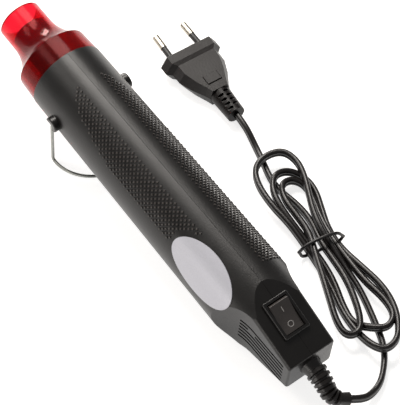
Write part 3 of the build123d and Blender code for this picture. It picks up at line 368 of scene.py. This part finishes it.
def plated(name, dark, light, roughness, streak_mm):
    """Plated or rolled metal: two close shades in short streaks, and a roughness that follows them."""
    material, nodes, surface = bare_material(name)
    surface.inputs["Metallic"].default_value = 1.0
    places = add_node(nodes, "ShaderNodeTexCoord")
    streaks = add_node(nodes, "ShaderNodeTexNoise", {"Scale": 1 / (streak_mm * mm), "Detail": 4.0},
                       {"Vector": places.outputs["Object"]})
    shades = add_node(nodes, "ShaderNodeMix", {"data_type": "RGBA", 6: colour(dark), 7: colour(light)},
                      {0: streaks.outputs["Fac"]})
    gloss = add_node(nodes, "ShaderNodeMapRange",
                     {"To Min": roughness - streak_gloss, "To Max": roughness + streak_gloss},
                     {"Value": streaks.outputs["Fac"]})
    nodes.id_data.links.new(shades.outputs[2], surface.inputs["Base Color"])
    nodes.id_data.links.new(gloss.outputs["Result"], surface.inputs["Roughness"])
    return material


coat("plug_pins", plated("nickel_plated_brass", "#a39d92", "#b9b4a8", roughness=0.3, streak_mm=6.0))

# Barrel: two half shells of black ABS, injection moulded with a fine spark-eroded grain, which spreads
# the light into a broad soft stripe. They are screwed together along the middle, and the heads of the
# zinc-plated screws lie in deep holes on the right. Sizes are in mm, forwards from the rear face.
abs_black = moulded("black_abs_shell", "#0d0b0a", "#131110",
                    roughness=0.36, grain_mm=0.8, relief=0.25, specular=0.42)
coat("left_shell", abs_black)
coat("right_shell", abs_black)
zinc_steel = plated("zinc_plated_steel", "#8d8e90", "#b4b5b6", roughness=0.34, streak_mm=1.5)
coat("shell_screws", zinc_steel)
joints = {joint["name"]: joint for joint in frame["joints"]}
fan_joint = joints["fan_spin"]
fan_x = 130.0
barrel_axis = Vector(fan_joint["axis"]).normalized()
barrel_left = Vector((0, 1, 0))
barrel_up = barrel_axis.cross(barrel_left)
barrel_start = Vector(fan_joint["pos_m"]) - barrel_axis * fan_x * mm
body_length = 206.0
taper_start = 50.0
rear_radius = 23.3
front_radius = 21.6


def barrel_point(x, radius, angle):
    """A point x from the rear face and radius from the axis, in mm, angle degrees left of the top."""
    turn = math.radians(angle)
    return (barrel_start + barrel_axis * x * mm
            + (barrel_left * math.sin(turn) + barrel_up * math.cos(turn)) * radius * mm)


def barrel_radius(x):
    """The barrel's radius at x from the rear face, in mm: steady at the rear, then a straight taper."""
    share = max(0.0, (x - taper_start) / (body_length - taper_start))
    return rear_radius + (front_radius - rear_radius) * share


# Grip: rows of small four-sided studs moulded on both flanks, set diagonally, with a smooth strip left
# along the top and a smooth field round the rating plate. The studs end in a curve towards the nozzle.
# The studs are painted a shade paler than the shell, and their tips much paler still, as a painted
# highlight.
stud_pitch = 3.0
stud_height = 0.55
stud_sunk = 0.1
stud_base = 1.2
stud_top = 0.5
strip_angle = 20.0
field_angle = 59.0
grip_rear = 51.0
grip_left_rear = 56.0
grip_front = 186.0
grip_narrowing = 40.0
plate_x = 66.0
plate_angle = 52.0
plate_half_length = 25.5
plate_half_width = 14.8
bpy.ops.mesh.primitive_cone_add(vertices=4, radius1=stud_base * mm, radius2=stud_top * mm,
                                depth=(stud_height + stud_sunk) * mm, end_fill_type="NGON")
stud = bpy.context.object
stud.data.transform(Matrix.Translation((0, 0, (stud_height - stud_sunk) / 2 * mm)))
stud_faces = len(stud.data.polygons)
tip_face = max(stud.data.polygons, key=lambda face: face.center.z).index
grip_work = bmesh.new()
row_count = int((grip_front - grip_rear) / (stud_pitch / 2)) + 1
for row in range(row_count):
    x = grip_rear + row * stud_pitch / 2
    radius = barrel_radius(x)
    step_angle = math.degrees(stud_pitch / radius)
    to_front = (grip_front - x) / grip_narrowing
    widest = strip_angle + (field_angle - strip_angle) * math.sqrt(min(1.0, to_front))
    row_shift = (row % 2) / 2
    for column in range(math.floor((widest - strip_angle) / step_angle - row_shift) + 1):
        angle = strip_angle + step_angle * (column + row_shift)
        plate_share = math.hypot((x - plate_x) / plate_half_length,
                                 math.radians(angle - plate_angle) * radius / plate_half_width)
        for side in (1, -1):
            if side > 0 and (plate_share < 1 or x < grip_left_rear):
                continue
            spot = barrel_point(x, radius, angle * side)
            outward = (spot - barrel_point(x, 0, 0)).normalized()
            round_way = outward.cross(barrel_axis)
            stance = Matrix((barrel_axis, -round_way, outward)).transposed().to_4x4()
            one = stud.data.copy()
            one.transform(Matrix.Translation(spot) @ stance)
            grip_work.from_mesh(one)
            bpy.data.meshes.remove(one)
bpy.data.objects.remove(stud)
grip_mesh = bpy.data.meshes.new("grip_studs")
grip_work.to_mesh(grip_mesh)
grip_work.free()
grip = bpy.data.objects.new("grip_studs", grip_mesh)
bpy.context.collection.objects.link(grip)
tips = grip_mesh.attributes.new("stud_tip", "FLOAT", "FACE")
for face in grip_mesh.polygons:
    tips.data[face.index].value = float(face.index % stud_faces == tip_face)
# Painted highlight: the studs are coloured a shade paler than the shell, and their tip faces a much paler
# grey
stud_plastic = moulded("stud_plastic_painted_highlight", "#161413", "#1e1b1a",
                       roughness=0.34, grain_mm=0.8, relief=0.1)
stud_nodes = stud_plastic.node_tree.nodes
stud_face = stud_nodes["Principled BSDF"]
stud_dark = stud_face.inputs["Base Color"].links[0].from_socket
stud_tip = add_node(stud_nodes, "ShaderNodeAttribute", {"attribute_name": "stud_tip"})
stud_painted_highlight = add_node(stud_nodes, "ShaderNodeMix", {"data_type": "RGBA", 7: colour("#4a4542")},
                       {0: stud_tip.outputs["Fac"], 6: stud_dark})
stud_nodes.id_data.links.new(stud_painted_highlight.outputs[2], stud_face.inputs["Base Color"])
grip.data.materials.append(stud_plastic)
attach(grip, "housing")

# Parting line: the hairline joint between the two shells, seen as a dark thread along the top, down
# the switch slope before and behind the switch, down the rear face to the boot, and along the
# underside. It is a gap that holds no light, so it is drawn as a matt, nearly black thread.
seam_width = 0.09 * mm
seam_proud = 0.03
seam_front_gap = 0.3
rear_seam_drop = 1.2
slope_start = 42.0
slope_angle = 16.0
slope_turn = math.radians(slope_angle)
belly_angle = 14.9
switch_front = 10.0
switch_rear = 31.0
boot_top = 6.6
seam_front = body_length - seam_front_gap
rear_top = rear_radius - slope_start * math.tan(slope_turn)
rear_low = -rear_radius + taper_start * math.tan(math.radians(belly_angle))
seam_shade = moulded("seam_shadow", "#0a0908", "#0f0d0c",
                     roughness=0.7, grain_mm=0.5, relief=0.0, specular=0.2)
before_switch, behind_switch = [
    (slope_start - along * math.cos(slope_turn), rear_radius - along * math.sin(slope_turn) + seam_proud)
    for along in (switch_front, switch_rear)]
seam_outlines = {
    "top_seam": [(seam_front, front_radius + seam_proud), (taper_start, rear_radius + seam_proud),
                 (slope_start, rear_radius + seam_proud), before_switch],
    "slope_seam": [behind_switch, (0.0, rear_top + seam_proud)],
    "rear_seam": [(-seam_proud, rear_top - rear_seam_drop), (-seam_proud, boot_top)],
    "belly_seam": [(0.0, rear_low - seam_proud), (taper_start, -rear_radius - seam_proud),
                   (seam_front, -front_radius - seam_proud)],
}
seam_section = [(seam_width, 0), (0, seam_width / 3), (-seam_width, 0), (0, -seam_width / 3)]
for seam_name, outline in seam_outlines.items():
    seam_line = [barrel_point(x, height, 0) for x, height in outline]
    seam_upright = barrel_axis if seam_name == "rear_seam" else barrel_up
    seam = swept(seam_name, seam_line, seam_section, seam_upright)
    seam.data.materials.append(seam_shade)
    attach(seam, "housing")

# Rating plate: an oval of plain silver polyester film, glued to the left flank. Its metal is flake in a
# clear coat, so it looks pale grey with a wide soft sheen. The flake's speckle is finer than 0.1 mm, and
# is drawn at 0.7 mm so that it shows.
film_speckle = 0.7 * mm
plate_film, film_nodes, film = bare_material("satin_silver_film")
film.inputs["Metallic"].default_value = 0.25
film.inputs["Roughness"].default_value = 0.42
film_places = add_node(film_nodes, "ShaderNodeTexCoord")
film_grain = add_node(film_nodes, "ShaderNodeTexNoise", {"Scale": 1 / film_speckle, "Detail": 3.0},
                      {"Vector": film_places.outputs["Object"]})
film_shades = add_node(film_nodes, "ShaderNodeMix",
                       {"data_type": "RGBA", 6: colour("#b6b6be"), 7: colour("#c7c7cf")},
                       {0: film_grain.outputs["Fac"]})
film_nodes.id_data.links.new(film_shades.outputs[2], film.inputs["Base Color"])
coat("rating_label", plate_film)

# Shroud: clear red polycarbonate, moulded in one piece and held in the shells by its spigot. Its lightly
# satin skin blurs the lamps, and the heater's tube, darkened as painted shade, shows through as a dark
# core.
# The thick band at its rear looks dark red and the thin wall at its mouth bright red. Shades drift in flow
# marks of 14 mm.
shroud_band_x = 218.0
shroud_mouth_x = 244.0
flow_size = 14 * mm
red_clear, red_nodes, red_face = bare_material("clear_red_polycarbonate")
red_face.inputs["Transmission Weight"].default_value = 0.88
red_face.inputs["Specular Tint"].default_value = colour("#ff9a9a")
red_face.inputs["IOR"].default_value = 1.25
red_places = add_node(red_nodes, "ShaderNodeTexCoord")
red_flow = add_node(red_nodes, "ShaderNodeTexNoise", {"Scale": 1 / flow_size, "Detail": 2.0},
                    {"Vector": red_places.outputs["Object"]})
red_from_rear = add_node(red_nodes, "ShaderNodeVectorMath", {"operation": "DOT_PRODUCT", 1: barrel_axis},
                         {0: red_places.outputs["Object"]})
band_along = barrel_point(shroud_band_x, 0, 0).dot(barrel_axis)
mouth_along = barrel_point(shroud_mouth_x, 0, 0).dot(barrel_axis)
red_along = add_node(red_nodes, "ShaderNodeMapRange", {"From Min": band_along, "From Max": mouth_along},
                     {"Value": red_from_rear.outputs["Value"]})
red_thick = add_node(red_nodes, "ShaderNodeMix",
                     {"data_type": "RGBA", 6: colour("#8c1518"), 7: colour("#9a1a1c")},
                     {0: red_flow.outputs["Fac"]})
red_thin = add_node(red_nodes, "ShaderNodeMix",
                    {"data_type": "RGBA", 6: colour("#cc1626"), 7: colour("#dc2034")},
                    {0: red_flow.outputs["Fac"]})
red_shades = add_node(red_nodes, "ShaderNodeMix", {"data_type": "RGBA"},
                      {0: red_along.outputs["Result"], 6: red_thick.outputs[2], 7: red_thin.outputs[2]})
red_gloss = add_node(red_nodes, "ShaderNodeMapRange", {"To Min": 0.14, "To Max": 0.2},
                     {"Value": red_flow.outputs["Fac"]})
red_nodes.id_data.links.new(red_shades.outputs[2], red_face.inputs["Base Color"])
red_nodes.id_data.links.new(red_gloss.outputs["Result"], red_face.inputs["Roughness"])
coat("nozzle_shroud", red_clear)

# Heater: a stainless tube, coloured a dull dark brown as painted shade so that it reads dark through the
# shroud, held in a matt cream ceramic ring. Inside lie a liner, a cross and an end plate of amber mica with
# a silky sheen, the dark oxidised wire wound on the cross, and a small cut-out in a plain steel case.
# The tube's dark colour is painted shade
coat("heater_tube", plated("painted_shade_tube_steel", "#332a26", "#4e423c", roughness=0.55, streak_mm=4.0))
coat("thermal_cutout", plated("cutout_case_steel", "#77736f", "#98948e", roughness=0.3, streak_mm=3.0))
coat("heater_ring", moulded("fired_steatite", "#d6cfc0", "#e6e0d4",
                            roughness=0.6, grain_mm=0.8, relief=0.3))
mica = moulded("layered_mica", "#a08c64", "#c3b28c", roughness=0.35, grain_mm=1.5, relief=0.3)
for node in ("mica_liner", "former_plate", "heater_former"):
    coat(node, mica)
coat("heating_element", plated("oxidised_resistance_wire", "#5e5854", "#7d7670",
                               roughness=0.42, streak_mm=0.8))

# Motor, fan and duct: a bright pressed steel can with a ground shaft, fixed by a zinc-plated bracket and
# its screws. The cap, fan, duct and cord clamp are glass-filled nylon, which the fibres make dull.
coat("motor_can", plated("pressed_motor_steel", "#8b8b8a", "#b0b0ae", roughness=0.28, streak_mm=2.5))
coat("motor_shaft", plated("ground_shaft_steel", "#9c9c9c", "#c4c4c4", roughness=0.18, streak_mm=1.0))
nylon_dark = moulded("glass_filled_nylon", "#181818", "#242424", roughness=0.55, grain_mm=0.7, relief=0.35)
for node in ("motor_end_cap", "fan_duct", "fan", "cord_clamp"):
    coat(node, nylon_dark)
coat("motor_bracket", zinc_steel)
coat("motor_screws", zinc_steel)

# Board and wiring: a board under satin green lacquer, with black epoxy diodes and a shiny blue
# capacitor, tabs and terminals stamped from yellow brass strip, and leads in satin brown PVC.
brass_strip = plated("brass_strip", "#b08c4a", "#d2b06a", roughness=0.3, streak_mm=1.2)
coat("motor_tabs", brass_strip)
coat("switch_terminals", brass_strip)
coat("motor_board", moulded("green_board_lacquer", "#174a2c", "#1f5c38",
                            roughness=0.35, grain_mm=1.0, relief=0.2))
coat("rectifier_diodes", moulded("diode_epoxy", "#161616", "#202020",
                                 roughness=0.4, grain_mm=0.5, relief=0.1))
coat("suppression_capacitor", moulded("capacitor_lacquer", "#1b3f8a", "#24509c",
                                      roughness=0.25, grain_mm=1.0, relief=0.1))
lead_pvc = moulded("brown_lead_pvc", "#4a2a1c", "#5a3424", roughness=0.4, grain_mm=0.6, relief=0.1)
for node in ("switch_lead", "load_lead", "return_lead"):
    coat(node, lead_pvc)

# Switch: a rocker of charcoal nylon, paler and smoother than its satin black bezel, which clips into the
# slope. The usual ring and bar are printed on the two halves of its face in matt grey ink. They are
# made round the rocker's pivot, and then turned and moved to where the rocker rests.
coat("switch_body", moulded("switch_nylon", "#0c0b0b", "#131111",
                            roughness=0.42, grain_mm=0.6, relief=0.2, specular=0.34))
coat("rocker", moulded("rocker_nylon", "#363231", "#413d3b", roughness=0.34, grain_mm=0.6, relief=0.2))
rocker_pivot = Vector(joints["rocker_tilt"]["pos_m"])
rocker_throw = 24.0
rocker_turn = math.radians(slope_angle + rocker_throw / 2) + math.asin(barrel_axis.z)
rocker_frame = Matrix.Translation(rocker_pivot) @ Matrix.Rotation(-rocker_turn, 4, "Y")
mark_slope = 0.133
ring_radius = 1.45
ring_line_radius = 0.24
ring_flatness = 0.4
ring_place = (-4.3 * mm, 0, 2.4 * mm)
bar_length = 3.0
bar_width = 0.45
bar_thickness = 0.2
bar_edge = 0.06
bar_place = (4.2 * mm, 0, 2.36 * mm)
mark_ink = moulded("grey_mark_ink", "#8f8c8a", "#a09d9b", roughness=0.5, grain_mm=0.4, relief=0.0)
bpy.ops.mesh.primitive_torus_add(major_radius=ring_radius * mm, minor_radius=ring_line_radius * mm,
                                 major_segments=40, minor_segments=8,
                                 location=ring_place, rotation=(0, mark_slope, 0))
ring_mark = bpy.context.object
ring_mark.name = "off_ring"
bpy.ops.object.mode_set(mode="EDIT")
bpy.ops.transform.resize(value=(1, 1, ring_flatness))
bpy.ops.object.mode_set(mode="OBJECT")
bpy.ops.mesh.primitive_cube_add(size=1 * mm, location=bar_place, rotation=(0, -mark_slope, 0))
bar_mark = bpy.context.object
bar_mark.name = "on_bar"
bpy.ops.object.mode_set(mode="EDIT")
bpy.ops.transform.resize(value=(bar_length, bar_width, bar_thickness))
bpy.ops.mesh.bevel(offset=bar_edge * mm, segments=2)
bpy.ops.object.mode_set(mode="OBJECT")
for mark in (ring_mark, bar_mark):
    bpy.ops.object.select_all(action="DESELECT")
    mark.select_set(True)
    bpy.context.view_layer.objects.active = mark
    bpy.ops.object.transform_apply(location=True, rotation=True, scale=True)
    mark.data.transform(rocker_frame)
    mark.data.materials.append(mark_ink)
    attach(mark, "rocker")

# Bail: spring wire bent to a half-round foot, whose tips turn in the two bosses on the barrel's flanks.
# Its thin nickel plate has gone dull, and gives a broken grey line of light.
coat("bail", plated("dull_nickel_wire", "#7c7d7a", "#a3a49f", roughness=0.3, streak_mm=1.4))
